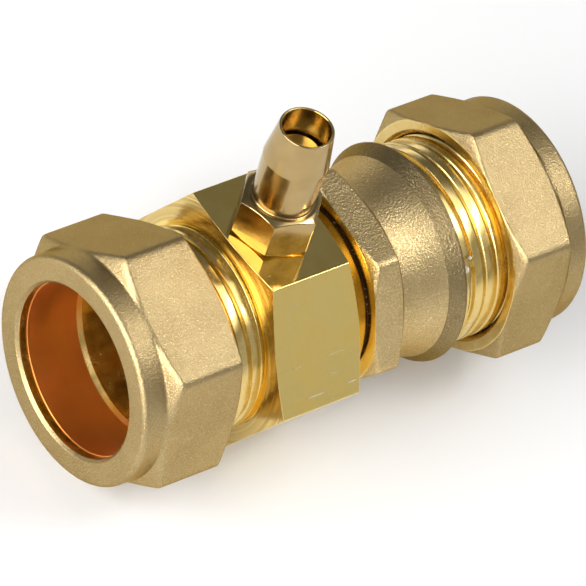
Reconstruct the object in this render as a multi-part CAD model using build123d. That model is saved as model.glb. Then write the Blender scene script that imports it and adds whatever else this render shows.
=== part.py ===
from build123d import *
import math
import os

# Pressure test point for 22 mm copper pipe, in millimetres.
# X runs along the pipe axis and +Z points up the test nipple.
# The finished pieces lie with the origin at the left pipe stop, on the pipe axis.

# Compression ends, the same at both ends of the fitting
pipe_r = 11.0
socket_clearance = 0.1
socket_depth = 11.5
male_wall = 1.0
thread_depth = 1.16
thread_clearance = 0.07
thread_pitch = 1.814
thread_truncation = 0.08
thread_crest_flat = 0.3
thread_root_flat = 0.25
thread_sink = 0.1
thread_lead_cone = 1.2
thread_start_angle = 135.0
left_thread_lead = 0.63
left_thread_runout = 0.75
right_thread_lead = 0.89
right_thread_runout = 0.55
end_chamfer = 0.3
end_bevel = 0.05
mouth_edge = 0.15
cone_half_angle = 30.0

# Test body, turned from hexagon bar
block_af = 30.0
block_half = 5.85
block_corner_round = 0.2
shoulder_length = 0.75
shoulder_drop = 3.8
left_male_length = 11.1
corner_cut = 0.85
nose_step = 0.15
nose_length = 3.7
nose_wall = 1.35
waterway_step = 1.9
tapping_step = 1.25

# Tapped socket in the block and the adaptor's spigot in it
spigot_wall = 2.0
spigot_length = 8.3
spigot_chamfer = 0.3
screwed_clearance = 0.05
spigot_end_gap = 0.5
joint_gap = 0.3

# Adaptor
adaptor_af = 26.0
adaptor_corner_angle = 23.6
adaptor_face_cut = 0.7
adaptor_face_lip = 0.35
adaptor_hex_length = 3.05
adaptor_back_cut = 1.25
adaptor_soft_corner = 0.5
neck_step = 0.75
neck_length = 6.5
neck_flare = 0.85
neck_bow = 0.28
flange_flare_length = 1.8
flange_flare = 1.25
flange_rim = 0.3
right_male_length = 10.6

# Compression nuts
nut_standoff = 8.4
nut_collar_length = 3.3
nut_shoulder_length = 1.1
left_nut_hex_length = 9.05
right_nut_hex_length = 7.1
nut_open_cut = 0.75
nut_collar_step = 0.15
nut_mouth_flare = 1.27
nut_mouth_lip = 0.4
nut_edge_round = 0.5
nut_corner_round = 0.6
nut_hole_clearance = 0.25
nut_hole_chamfer = 0.4
nut_lip_length = 1.5
nut_seat_step = 0.5
left_nut_corner_angle = 6.0
right_nut_corner_angle = 3.8

# Olives
olive_clearance = 0.15
olive_end_wall = 0.3
olive_crown = 0.85
olive_taper_length = 2.2
olive_entry = 0.7
olive_end_gap = 0.02

# Test nipple
port_r = 4.8
port_floor = 0.75
port_end_gap = 0.3
port_chamfer = 0.3
gas_r = 1.0
nipple_af = 9.5
nipple_corner_angle = 45.0
nipple_hex_height = 5.9
nipple_foot_cut = 0.5
nipple_top_cut = 0.5
nipple_face_step = 0.3
spigot_rim_r = 3.43
spigot_belly = 0.72
spigot_waist = 0.25
spigot_cone_height = 5.3
spigot_body_height = 6.8
spigot_lip = 0.31

# Sealing screw and its seal
head_depth = 4.0
head_thickness = 2.0
head_clearance = 0.3
head_chamfer = 0.25
seal_thickness = 0.8
seal_clearance = 0.3
shank_r = 2.0
shank_clearance = 0.05
shank_length = 8.2
shank_end_gap = 0.8
shank_flat = 0.5
slot_width = 0.8
slot_depth = 0.9
slot_angle = -49.8

HEX_SIDES = 6
FULL_TURN = 360.0


def turned_x(points):
    """Solid turned about the pipe axis, from (position, radius) points."""
    outline = Polyline(*[(x, r) for x, r in points], close=True)
    return revolve(make_face(outline), axis=Axis.X)


def turned_z(points):
    """Solid turned about the nipple's axis, from (radius, height) points."""
    outline = Polyline(*[(r, 0, z) for r, z in points], close=True)
    return revolve(make_face(outline), axis=Axis.Z)


def corner_radius(across_flats):
    """Distance from a hexagon's centre to its corners."""
    return across_flats / math.sqrt(3)


def corner_angles(first):
    """Directions of a hexagon's corners, in radians, from the first one in degrees."""
    return [math.radians(first + FULL_TURN / HEX_SIDES * k) for k in range(HEX_SIDES)]


def beyond(inner, outer, radius):
    """Point at the given radius on the line from an inner to an outer (position, radius) point."""
    share = (radius - inner[1]) / (outer[1] - inner[1])
    return (inner[0] + share * (outer[0] - inner[0]), radius)


def hexagon_x(across_flats, first_corner, start, end, soft=0):
    """Hexagon bar along the pipe axis, its corners counted from +Z towards +Y."""
    reach = corner_radius(across_flats)
    corners = [(start, reach * math.sin(a), reach * math.cos(a)) for a in corner_angles(first_corner)]
    face = make_face(Polyline(*corners, close=True))
    if soft:
        face = face.face().fillet_2d(soft, face.vertices())
    return extrude(face, amount=abs(end - start), dir=(math.copysign(1, end - start), 0, 0))


def hexagon_z(across_flats, first_corner, bottom, top):
    """Hexagon bar along the nipple's axis, its corners counted from +X towards +Y."""
    reach = corner_radius(across_flats)
    corners = [(reach * math.cos(a), reach * math.sin(a), bottom) for a in corner_angles(first_corner)]
    return extrude(make_face(Polyline(*corners, close=True)), amount=top - bottom, dir=(0, 0, 1))


def make_thread(start, end, free_end, inner_end):
    """Right-hand ridge wound on the pipe axis from start to end, coned at the free end of its piece."""
    half_base = (thread_pitch - thread_root_flat) / 2
    flank = (half_base - thread_crest_flat / 2) / (crest_r - root_r)
    half_sunk = half_base + flank * thread_sink
    sunk_r = root_r - thread_sink
    section = make_face(Polyline(
        (sunk_r, 0, -half_sunk),
        (crest_r, 0, -thread_crest_flat / 2),
        (crest_r, 0, thread_crest_flat / 2),
        (sunk_r, 0, half_sunk),
        close=True,
    ))
    ridge = sweep(section, path=Helix(thread_pitch, end - start, sunk_r), is_frenet=True)
    turn = math.radians(thread_start_angle)
    outward = (0, math.cos(turn), math.sin(turn))
    placed = Plane(origin=(start, 0, 0), x_dir=outward, z_dir=(1, 0, 0)).location * ridge
    cone_end = free_end + math.copysign(thread_lead_cone, inner_end - free_end)
    return placed & turned_x([
        (free_end, 0),
        (free_end, root_r),
        (cone_end, crest_r + thread_clearance),
        (inner_end, crest_r + thread_clearance),
        (inner_end, 0),
    ])


# Radii that the compression ends share
socket_r = pipe_r + socket_clearance
root_r = socket_r + male_wall
crest_r = root_r + thread_depth - thread_truncation
mouth_r = root_r - mouth_edge
cone_slope = math.tan(math.radians(cone_half_angle))
mouth_cone_length = (mouth_r - socket_r) / cone_slope
waterway_r = socket_r - waterway_step

# Places along the pipe axis, from the left end to the right end
shoulder_x = -(block_half + shoulder_length)
left_end_x = shoulder_x - left_male_length
left_face_x = left_end_x - nut_standoff
left_stop_x = left_end_x + socket_depth
nose_start_x = block_half + corner_cut
nose_end_x = nose_start_x + nose_length
adaptor_face_x = nose_end_x + joint_gap
spigot_end_x = adaptor_face_x - spigot_length
tapping_end_x = spigot_end_x - spigot_end_gap
adaptor_corner_x = adaptor_face_x + adaptor_face_cut
adaptor_back_x = adaptor_corner_x + adaptor_hex_length
neck_start_x = adaptor_back_x + adaptor_back_cut
neck_end_x = neck_start_x + neck_length
flange_x = neck_end_x + flange_flare_length
thread_start_x = flange_x + flange_rim
right_end_x = thread_start_x + right_male_length
right_face_x = right_end_x + nut_standoff
right_stop_x = right_end_x - socket_depth

# Test body: hexagon block with a turned male end, a tapered nose and its bores
block_apothem = block_af / 2
block_corner_r = corner_radius(block_af)
nose_r = block_apothem - nose_step
block_reach = block_corner_r * 2 - block_apothem
left_rim = (shoulder_x, block_corner_r - shoulder_drop)
right_rim = (nose_start_x, nose_r)
block_envelope = turned_x([
    (shoulder_x, 0),
    left_rim,
    beyond(left_rim, (-block_half, block_corner_r), block_reach),
    beyond(right_rim, (block_half, block_corner_r), block_reach),
    right_rim,
    (nose_start_x, 0),
])
flat_up = FULL_TURN / HEX_SIDES / 2
block_bar = hexagon_x(block_af, flat_up, shoulder_x, nose_start_x, block_corner_round)
block = block_bar & block_envelope
tapping_r = waterway_r + tapping_step
spigot_r = tapping_r - screwed_clearance
nose_tip_r = tapping_r + nose_wall
turned_core = turned_x([
    (left_end_x, 0),
    (left_end_x, root_r - end_bevel),
    (left_end_x + end_chamfer, root_r),
    (0, root_r),
    (0, nose_r),
    (nose_start_x, nose_r),
    (nose_end_x, nose_tip_r),
    (nose_end_x, 0),
])
body_bore = turned_x([
    (left_end_x, 0),
    (left_end_x, mouth_r),
    (left_end_x + mouth_cone_length, socket_r),
    (left_stop_x, socket_r),
    (left_stop_x, waterway_r),
    (tapping_end_x, waterway_r),
    (tapping_end_x, tapping_r),
    (nose_end_x - spigot_chamfer, tapping_r),
    (nose_end_x, tapping_r + spigot_chamfer),
    (nose_end_x, 0),
])
port_bottom_z = tapping_r + port_floor
port = turned_z([
    (0, 0),
    (gas_r, 0),
    (gas_r, port_bottom_z),
    (port_r, port_bottom_z),
    (port_r, block_apothem - port_chamfer),
    (port_r + port_chamfer, block_apothem),
    (0, block_apothem),
])
left_thread = make_thread(
    left_end_x + left_thread_lead, shoulder_x - left_thread_runout, left_end_x, shoulder_x
)
test_body = block + turned_core + left_thread - body_bore - port

# Adaptor: screwed spigot, stamped hexagon, flared neck, flange and a turned male end
adaptor_apothem = adaptor_af / 2
adaptor_corner_r = corner_radius(adaptor_af)
neck_r = adaptor_apothem - neck_step
neck_end_r = neck_r + neck_flare
flange_r = neck_end_r + flange_flare
spigot_bore_r = spigot_r - spigot_wall
adaptor_reach = adaptor_corner_r * 2 - adaptor_apothem
face_rim = (adaptor_face_x, adaptor_apothem + adaptor_face_lip)
back_rim = (neck_start_x, neck_r)
adaptor_envelope = turned_x([
    (adaptor_face_x, 0),
    face_rim,
    beyond(face_rim, (adaptor_corner_x, adaptor_corner_r), adaptor_reach),
    beyond(back_rim, (adaptor_back_x, adaptor_corner_r), adaptor_reach),
    back_rim,
    (neck_start_x, 0),
])
adaptor_hex = hexagon_x(
    adaptor_af, adaptor_corner_angle, adaptor_face_x, neck_start_x, adaptor_soft_corner
) & adaptor_envelope
neck_middle_x = (neck_start_x + neck_end_x) / 2
neck_line = [
    Line((neck_start_x, 0), (neck_start_x, neck_r)),
    ThreePointArc(
        (neck_start_x, neck_r),
        (neck_middle_x, (neck_r + neck_end_r) / 2 - neck_bow),
        (neck_end_x, neck_end_r),
    ),
    Polyline(
        (neck_end_x, neck_end_r),
        (flange_x, flange_r),
        (thread_start_x, flange_r),
        (thread_start_x, root_r),
        (right_end_x - end_chamfer, root_r),
        (right_end_x, root_r - end_bevel),
        (right_end_x, 0),
        (neck_start_x, 0),
    ),
]
neck = revolve(make_face(neck_line), axis=Axis.X)
spigot = turned_x([
    (spigot_end_x, 0),
    (spigot_end_x, spigot_r - spigot_chamfer),
    (spigot_end_x + spigot_chamfer, spigot_r),
    (neck_start_x, spigot_r),
    (neck_start_x, 0),
])
adaptor_bore = turned_x([
    (spigot_end_x, 0),
    (spigot_end_x, spigot_bore_r),
    (right_stop_x, spigot_bore_r),
    (right_stop_x, socket_r),
    (right_end_x - mouth_cone_length, socket_r),
    (right_end_x, mouth_r),
    (right_end_x, 0),
])
right_thread = make_thread(
    thread_start_x + right_thread_lead, right_end_x - right_thread_runout, right_end_x, thread_start_x
)
adaptor = spigot + adaptor_hex + neck + right_thread - adaptor_bore

# Compression nuts: round collar, hexagon, coned seat and a clear bore for the thread
nut_bore_r = root_r + thread_depth + thread_clearance
nut_mouth_r = nut_bore_r + nut_mouth_flare
nut_apothem = nut_mouth_r + nut_mouth_lip
nut_af = nut_apothem * 2
nut_corner_r = corner_radius(nut_af)
nut_collar_r = nut_apothem - nut_collar_step
nut_hole_r = pipe_r + nut_hole_clearance
nut_seat_r = nut_hole_r + nut_seat_step
nut_seat_length = (nut_bore_r - nut_seat_r) / cone_slope


def make_nut(face_x, inward, hex_length, first_corner):
    """Nut whose outer face lies at face_x, with inward +1 or -1 towards its open end."""
    near_corner = nut_collar_length + nut_shoulder_length
    far_corner = near_corner + hex_length
    length = far_corner + nut_open_cut
    reach = nut_corner_r * 2 - nut_apothem
    near_rim = (nut_collar_length, nut_collar_r)
    far_rim = (length, nut_apothem)

    def placed(points):
        return [(face_x + inward * u, r) for u, r in points]

    envelope = turned_x(placed([
        (nut_collar_length, 0),
        near_rim,
        beyond(near_rim, (near_corner, nut_corner_r), reach),
        beyond(far_rim, (far_corner, nut_corner_r), reach),
        far_rim,
        (length, 0),
    ]))
    start = face_x + inward * nut_collar_length
    end = face_x + inward * length
    hexagon = hexagon_x(nut_af, first_corner, start, end, nut_corner_round) & envelope
    collar = turned_x(placed([
        (0, 0),
        (0, nut_collar_r),
        (near_corner, nut_collar_r),
        (near_corner, 0),
    ]))
    rim = collar.edges().filter_by(GeomType.CIRCLE).sort_by(Axis.X)
    collar = fillet(rim[0] if inward > 0 else rim[-1], nut_edge_round)
    bore = turned_x(placed([
        (0, 0),
        (0, nut_hole_r + nut_hole_chamfer),
        (nut_hole_chamfer, nut_hole_r),
        (nut_lip_length, nut_hole_r),
        (nut_lip_length, nut_seat_r),
        (nut_lip_length + nut_seat_length, nut_bore_r),
        (length - nut_mouth_flare, nut_bore_r),
        (length, nut_mouth_r),
        (length, 0),
    ]))
    return hexagon + collar - bore


left_nut = make_nut(left_face_x, 1, left_nut_hex_length, left_nut_corner_angle)
right_nut = make_nut(right_face_x, -1, right_nut_hex_length, right_nut_corner_angle)

# Olives: copper rings tapered at both ends
olive_bore_r = pipe_r + olive_clearance
olive_end_r = olive_bore_r + olive_end_wall
olive_crown_r = olive_end_r + olive_crown


def make_olive(face_x, inward):
    """Olive between the lip of the nut whose face lies at face_x and the socket's mouth."""
    first = nut_lip_length + olive_end_gap
    last = nut_standoff + olive_entry
    return turned_x([
        (face_x + inward * u, r)
        for u, r in [
            (first, olive_bore_r),
            (first, olive_end_r),
            (first + olive_taper_length, olive_crown_r),
            (last - olive_taper_length, olive_crown_r),
            (last, olive_end_r),
            (last, olive_bore_r),
        ]
    ])


left_olive = make_olive(left_face_x, 1)
right_olive = make_olive(right_face_x, -1)

# Test nipple: screwed stub, hexagon, waisted hose spigot, and a bore for the sealing screw
hex_bottom_z = block_apothem
hex_top_z = hex_bottom_z + nipple_hex_height
belly_z = hex_top_z + spigot_body_height
rim_z = belly_z + spigot_cone_height
stub_r = port_r - screwed_clearance
stub_bottom_z = port_bottom_z + port_end_gap
nipple_corner_r = corner_radius(nipple_af)
nipple_apothem = nipple_af / 2
nipple_face_r = nipple_apothem - nipple_face_step
nipple_reach = nipple_corner_r * 2 - nipple_apothem
foot_rim = (hex_bottom_z, nipple_face_r)
top_rim = (hex_top_z, nipple_face_r)
foot_end = beyond(foot_rim, (hex_bottom_z + nipple_foot_cut, nipple_corner_r), nipple_reach)
top_end = beyond(top_rim, (hex_top_z - nipple_top_cut, nipple_corner_r), nipple_reach)
belly_r = spigot_rim_r + spigot_belly
waist_r = belly_r - spigot_waist
nipple_bore_r = spigot_rim_r - spigot_lip
head_top_z = rim_z - head_depth
head_bottom_z = head_top_z - head_thickness
seat_z = head_bottom_z - seal_thickness
screw_hole_r = shank_r + shank_clearance
shank_bottom_z = head_bottom_z - shank_length
screw_hole_z = shank_bottom_z - shank_end_gap
nipple_envelope = turned_z([
    (0, hex_bottom_z),
    (nipple_face_r, hex_bottom_z),
    (nipple_reach, foot_end[0]),
    (nipple_reach, top_end[0]),
    (nipple_face_r, hex_top_z),
    (0, hex_top_z),
])
nipple_hex = hexagon_z(nipple_af, nipple_corner_angle, hex_bottom_z, hex_top_z) & nipple_envelope
nipple_turned = turned_z([
    (0, stub_bottom_z),
    (stub_r - port_chamfer, stub_bottom_z),
    (stub_r, stub_bottom_z + port_chamfer),
    (stub_r, hex_bottom_z),
    (waist_r, hex_bottom_z),
    (waist_r, hex_top_z),
    (belly_r, belly_z),
    (spigot_rim_r, rim_z),
    (0, rim_z),
])
nipple_bore = turned_z([
    (0, stub_bottom_z),
    (gas_r, stub_bottom_z),
    (gas_r, screw_hole_z),
    (screw_hole_r, screw_hole_z),
    (screw_hole_r, seat_z),
    (nipple_bore_r, seat_z),
    (nipple_bore_r, rim_z),
    (0, rim_z),
])
test_nipple = nipple_hex + nipple_turned - nipple_bore

# Sealing screw: slotted head, plain shank with a flat that lets gas past
head_r = nipple_bore_r - head_clearance
screw_blank = turned_z([
    (0, shank_bottom_z),
    (shank_r - head_chamfer, shank_bottom_z),
    (shank_r, shank_bottom_z + head_chamfer),
    (shank_r, head_bottom_z),
    (head_r, head_bottom_z),
    (head_r, head_top_z - head_chamfer),
    (head_r - head_chamfer, head_top_z),
    (0, head_top_z),
])
slot = Pos(0, 0, head_top_z) * Rot(0, 0, slot_angle) * Box(head_r * 3, slot_width, slot_depth * 2)
flat_middle_z = (head_bottom_z + shank_bottom_z) / 2
flat = Pos(shank_r * 2 - shank_flat, 0, flat_middle_z) * Box(shank_r * 2, shank_r * 2, shank_length)
sealing_screw = screw_blank - slot - flat

# Seal: flat washer between the screw's head and its seat
screw_seal = turned_z([
    (shank_r + seal_clearance, seat_z),
    (head_r, seat_z),
    (head_r, head_bottom_z),
    (shank_r + seal_clearance, head_bottom_z),
])

os.makedirs("parts", exist_ok=True)
pieces = {
    "test_body": test_body,
    "adaptor": adaptor,
    "left_nut": left_nut,
    "left_olive": left_olive,
    "right_nut": right_nut,
    "right_olive": right_olive,
    "test_nipple": test_nipple,
    "sealing_screw": sealing_screw,
    "screw_seal": screw_seal,
}
for name, piece in pieces.items():
    export_step(Pos(-left_stop_x, 0, 0) * piece, f"parts/{name}.step")
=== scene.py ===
import math

import bmesh
import bpy
from bpy.props import FloatProperty, FloatVectorProperty, PointerProperty
from mathutils import Matrix, Vector


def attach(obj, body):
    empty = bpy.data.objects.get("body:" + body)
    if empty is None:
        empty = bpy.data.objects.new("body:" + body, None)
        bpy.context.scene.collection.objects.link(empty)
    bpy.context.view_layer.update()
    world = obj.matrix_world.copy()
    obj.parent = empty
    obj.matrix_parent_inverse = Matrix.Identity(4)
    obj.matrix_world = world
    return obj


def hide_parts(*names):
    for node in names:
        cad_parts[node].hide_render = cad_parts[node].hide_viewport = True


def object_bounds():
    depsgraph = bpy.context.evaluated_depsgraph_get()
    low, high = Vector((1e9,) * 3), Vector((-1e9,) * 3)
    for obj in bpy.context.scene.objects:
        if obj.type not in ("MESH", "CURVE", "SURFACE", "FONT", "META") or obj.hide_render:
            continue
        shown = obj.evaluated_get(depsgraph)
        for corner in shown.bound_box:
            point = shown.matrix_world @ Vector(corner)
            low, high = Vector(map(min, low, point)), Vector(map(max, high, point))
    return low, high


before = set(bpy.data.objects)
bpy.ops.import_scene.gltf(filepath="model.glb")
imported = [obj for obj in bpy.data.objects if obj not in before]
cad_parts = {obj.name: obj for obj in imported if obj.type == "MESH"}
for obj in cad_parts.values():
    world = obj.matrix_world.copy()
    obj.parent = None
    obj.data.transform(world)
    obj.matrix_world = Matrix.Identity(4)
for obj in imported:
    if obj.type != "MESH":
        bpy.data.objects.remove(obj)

bl_info = {
    "name": "Pressure test point",
    "version": (1, 0, 0),
    "blender": (4, 5, 0),
    "location": "View3D > Sidebar > Test point",
    "description": "Models a brass pressure test point for 22 mm pipe, piece by piece",
    "category": "Object",
}

CAD_BOX = [list(corner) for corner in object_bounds()]
PREFIX = "testpoint_"

# Pieces are drawn a thousand times up, where the mesh tools' tolerances are small against them
DRAWN = 1000.0
HEX_SIDES = 6
ALONG, UP = Vector((1, 0, 0)), Vector((0, 0, 1))

# Steps round the pieces: more where soft flats are pressed in, fewer where a piece is small
TURN_STEPS = 192
STAMP_STEPS = 288
RIDGE_STEPS = 96
NIPPLE_STEPS = 128
SCREW_STEPS = 96
HOLE_STEPS = 32
WAIST_STEPS = 10

# Lengths from here to the finishes are in drawn millimetres
MERGE = 0.0005  # points of an outline that are one
MILLED_MERGE = 0.002  # points left by milling that are one
ON_PLANE = 0.00005  # points that lie on a cutting plane
JUST_PAST = 0.01  # past a face, so that the face itself is taken in
BESIDE = 0.05  # beside a face, where its finish changes

# Roundings: the turn of one step, and the most that a rounding takes of the run beside it
ARC_STEP = math.radians(14)
ARC_SHARE = 0.45

# Angles in degrees from which edges are broken, and over which they stay sharp
BLOCK_EDGE, NIPPLE_EDGE, SCREW_EDGE = 22.0, 24.0, 40.0
SMOOTH, THREADED_SMOOTH = 30.0, 40.0
FACE_WEIGHT = 100  # of large faces in the shading of their edges

# Stamped hexagons
STATION_GAP = 0.16  # between the rings of points
PRESS_DEPTH = 3.0  # below the flats, where the bore is left alone
LEAST_FACING = 0.2  # least share of the second flat's direction
ADAPTOR_RAMP, NUT_RAMP = 0.15, 0.6  # over which the softness grows from each end
NECK_BLEND = 0.6  # of the neck that is still pressed
COLLAR_STATIONS, COLLAR_BLEND = 0.4, 0.25  # of the collar that has rings, and that is pressed
PAST_END = 0.2  # beyond the open end

# Thread ridges: points on each side and fall of the land's edges, as a share
RIDGE_POINTS = 10
LAND_CROWN = 0.1
MALE_LAND, NUT_LAND = 0.58, 0.1  # share of the width that is land
MALE_FADE, NUT_FADE = 0.2, 0.25  # turns over which an end fades
MALE_FADE_SINK, NUT_RIDGE_SINK = 0.09, 0.06  # into the turned surface
NUT_RIDGE_HALF = 0.3  # half the width at the base
RIDGE_SINK = 0.03  # of the turned surface under the filled valleys
LEAD_CONE = 0.9  # at a male thread's free end
LEFT_RUN_OUT, RIGHT_RUN_OUT, NUT_RUN_OUT = 0.35, 0.55, 0.3  # bare beyond the ridge
PAST_OLIVE = 7.25  # from the nut's outer face to its thread

# Other small lengths
CHAMFER = 0.3  # of the screwed joints
GAS_WAY_END = 2.0  # of the gas way, from the pipe axis and from the flat
STUB_NECK = 0.6  # under the nipple's hexagon
RIM_PROUD = 0.05  # of the nut's open rim over its flats
SCREW_BREAK = 0.05  # width of the screw's broken edges
SLOT_REACH = 3  # length of the slot's cutter in radii of the screw's head
# Ring in the screwed joint: pale jointing paste, mostly dark as painted shade of the gap
JOINT_RING_LAP, JOINT_RING_DEPTH, JOINT_RING_HOLLOW = 0.02, 0.25, 0.12  # into the faces, below the tip, in the middle
SPECK_ROUGHNESS = 0.03
BORE_SIDE_R = 11.4  # radius between the bores' finish and the outside's
FLANGE_SIDE_R = 12.6  # radius over which the flange has a darker copy of the stamped brass, painted shade
FLANGE_DRAFT = 0.1  # fall of the flange's rim towards its right face
FLANGE_BACK = 0.02  # before the flange's right face
ON_CONE = 0.04  # from the cone of the block's left face
END_FACE = 0.08  # depth of the nut's turned end face
COLLAR_EDGE = 0.25  # depth from which the nut's bore is turned
RIM_EDGE = 0.2  # of the nipple's rim that is as bright as its bore

# White specks on the right thread that stand for glints, as painted highlights: the middle of each and its
# size
GLINT_SPECKS = (
    ((31.42, -10.75, 7.28), (0.85, 0.9, 1.0)),
    ((32.25, -10.0, 8.38), (0.45, 0.5, 0.5)),
    ((31.15, -11.72, 5.58), (0.4, 0.5, 0.6)),
    ((31.55, -12.1, 4.7), (0.25, 0.3, 0.3)),
)

# Finishes: sockets of a colour mix, the range that most of a noise lies in, and stamped brass
# where it is dull, plain and bright, and at a glancing angle
MIX_COLOURS, MIX_RESULT = (6, 7), 2
MOST = (0.3, 0.7)
STAMPED_COLOURS = ((0.395, 0.285, 0.13), (0.45, 0.33, 0.155), (0.66, 0.53, 0.29))
STAMPED_EDGE = (0.62, 0.48, 0.28)

# Bright scratches on the block's front flat: the middle of each and its reach, in millimetres
SCRATCHES = (
    ((5.5, -16.43, 1.53), (1.75, 0.10, 0.13)),
    ((11.1, -16.40, 1.60), (0.95, 0.10, 0.12)),
    ((8.4, -15.4, 3.3), (0.9, 0.05, 0.06)),
    ((3.2, -14.2, 5.4), (0.7, 0.04, 0.05)),
)

# Stage in metres: nearest and farthest view, the point that the lamps face, and each lamp's name,
# the direction that it lies in, its distance, its two sides and its power
CAMERA_CLIP = (0.01, 20.0)
LAMP_AIM = (0.014, 0, 0)
LAMPS = (
    ("key_lamp", (0.45, -0.30, 0.84), 0.8, (0.66, 0.55), 1.7),
    ("streak_lamp", (0.536, -0.39, 0.749), 0.75, (0.30, 0.06), 1.1),
    ("back_lamp", (0.545, 0.83, 0.10), 0.8, (0.9, 0.22), 0.75),
    ("left_lamp", (-0.93, -0.02, 0.36), 0.8, (0.9, 0.75), 14.0),
)

# Studio walls: height and level at the horizon and above, and strength from the front to the back
WALL_LEVELS = ((0.0, 0.58), (0.45, 0.33))
WALL_FACING = (-0.2, 0.6, 1.0, 0.42)


def mm(name, description, millimetres):
    """A length given in millimetres and kept in metres."""
    return FloatProperty(
        name=name, description=description, default=millimetres / DRAWN,
        subtype="DISTANCE", unit="LENGTH", precision=6,
    )


def spot(name, description, place, radius):
    """A place along the axis and the radius there, given in millimetres and kept in metres."""
    return FloatVectorProperty(
        name=name, description=description, size=2, default=(place / DRAWN, radius / DRAWN),
        subtype="XYZ", unit="LENGTH", precision=6,
    )


def turn(name, description, degrees):
    """An angle given in degrees and kept in radians."""
    return FloatProperty(
        name=name, description=description, default=math.radians(degrees), subtype="ANGLE", unit="ROTATION",
    )


def vector(name, description, subtype, value, **limits):
    """A place, a direction or a colour."""
    return FloatVectorProperty(
        name=name, description=description, default=value, subtype=subtype, **limits,
    )


class EndSizes(bpy.types.PropertyGroup):
    """Compression ends, which are alike on the left and on the right."""

    root_r: mm("Thread root radius", "Bottom of the male thread", 12.1)
    valley_r: mm("Thread valley radius", "Filled valleys between the ridges", 12.62)
    crest_r: mm("Thread crest radius", "Top of the male thread", 13.18)
    pitch: mm("Pitch", "Advance of the thread in one turn", 1.814)
    thread_turn: turn("Thread start", "Turn at which the threads start, from +Y towards +Z", 135.0)
    left_lead: mm("Left lead", "First ridge from the left end", 0.63)
    right_lead: mm("Right lead", "First ridge from the flange", 0.89)
    socket_r: mm("Socket radius", "Socket that the pipe fills", 11.1)
    mouth_r: mm("Mouth radius", "Coned mouth that the olive meets", 11.95)
    mouth_cone: mm("Mouth cone", "Length of the coned mouth", 1.472)
    waterway_r: mm("Waterway radius", "Bore between the pipe stops", 9.2)


class BodySizes(bpy.types.PropertyGroup):
    """Test body, turned from hexagon bar, with places from the left pipe stop."""

    across_flats: mm("Across flats", "Width of the hexagon bar", 30.0)
    end_x: mm("Left end", "End of the male thread", -11.5)
    shoulder: spot("Shoulder", "Left end of the hexagon", -0.4, 13.52)
    left_corner_x: mm("Left corners", "Left end of the hexagon's corners", 0.35)
    right_corner_x: mm("Right corners", "Right end of the hexagon's corners", 12.05)
    nose: spot("Nose", "Right end of the hexagon's corner cut", 12.9, 14.8)
    tip: spot("Nose tip", "Right end of the nose", 16.6, 11.8)
    tapping: spot("Tapping", "Bottom of the tapped socket", 8.1, 10.45)
    gas_r: mm("Gas way radius", "Hole up to the nipple", 1.0)
    edge: mm("Edge", "Width of the broken edges", 0.145)


class AdaptorSizes(bpy.types.PropertyGroup):
    """Stamped adaptor, with places from the left pipe stop."""

    across_flats: mm("Across flats", "Width of the stamped hexagon", 26.0)
    corner: turn("First corner", "Turn of the first corner from the top", 23.6)
    spigot: spot("Spigot", "Left end of the screwed spigot", 8.6, 10.40)
    bore_r: mm("Bore radius", "Radius of the bore", 8.4)
    face: spot("Face", "Turned left face of the hexagon", 16.9, 13.35)
    left_corner_x: mm("Left corners", "Left end of the hexagon's corners", 17.6)
    right_corner_x: mm("Right corners", "Right end of the hexagon's corners", 20.65)
    neck: spot("Neck", "Start of the neck", 21.9, 12.25)
    neck_bow: mm("Neck bow", "Depth of the neck's waist", 0.28)
    flare: spot("Flare", "Crease where the flange starts to flare", 28.4, 13.1)
    flange: spot("Flange", "Left edge of the flange's rim", 30.2, 14.35)
    thread_x: mm("Thread start", "Right face of the flange", 30.5)
    end_x: mm("Right end", "End of the male thread", 41.1)
    stop_x: mm("Pipe stop", "Stop that the right pipe meets", 29.6)
    soft: mm("Edge softness", "Rounding of the end cuts", 0.8)
    corner_soft: mm("Corner softness", "Rounding of the corners", 0.7)


class NutSizes(bpy.types.PropertyGroup):
    """Compression nuts, which differ in the length of their hexagons."""

    across_flats: mm("Across flats", "Width of the hexagon", 30.0)
    collar_r: mm("Collar radius", "Round collar", 14.85)
    collar: mm("Collar", "Length of the round collar", 3.3)
    shoulder: mm("Shoulder", "Length of the coned shoulder", 1.1)
    open_cut: mm("Open end cut", "Length of the corner cut at the open end", 0.75)
    hole_r: mm("Hole radius", "Hole for the pipe", 11.25)
    hole_cut: mm("Hole chamfer", "Chamfer of the hole", 0.4)
    lip: mm("Lip", "Thickness behind the outer face", 1.5)
    seat_r: mm("Seat radius", "Start of the coned seat", 11.75)
    seat: mm("Seat", "Length of the coned seat", 2.737)
    bore_r: mm("Bore radius", "Bottom of the nut's thread", 13.33)
    thread_r: mm("Thread radius", "Top of the nut's thread", 12.74)
    mouth_r: mm("Mouth radius", "Countersunk mouth", 13.9)
    soft: mm("Edge softness", "Rounding of the end cuts", 1.0)
    corner_soft: mm("Corner softness", "Rounding of the corners", 0.9)
    left_face_x: mm("Left face", "Outer face of the left nut", -19.9)
    left_hex: mm("Left hexagon", "Length of the left nut's corners", 9.05)
    left_corner: turn("Left first corner", "Turn of the first corner from the top", 6.0)
    right_face_x: mm("Right face", "Outer face of the right nut", 49.5)
    right_hex: mm("Right hexagon", "Length of the right nut's corners", 7.1)
    right_corner: turn("Right first corner", "Turn of the first corner from the top", 3.8)


class OliveSizes(bpy.types.PropertyGroup):
    """Copper olives between the nuts and the sockets' mouths."""

    bore_r: mm("Bore radius", "Radius of the bore", 11.15)
    end_r: mm("End radius", "Outer radius at both ends", 11.45)
    crown_r: mm("Crown radius", "Outer radius in the middle", 12.3)
    first: mm("First end", "Outer end behind the nut's face", 1.52)
    last: mm("Last end", "Inner end behind the nut's face", 9.1)
    taper: mm("Taper", "Length of each taper", 2.2)


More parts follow.
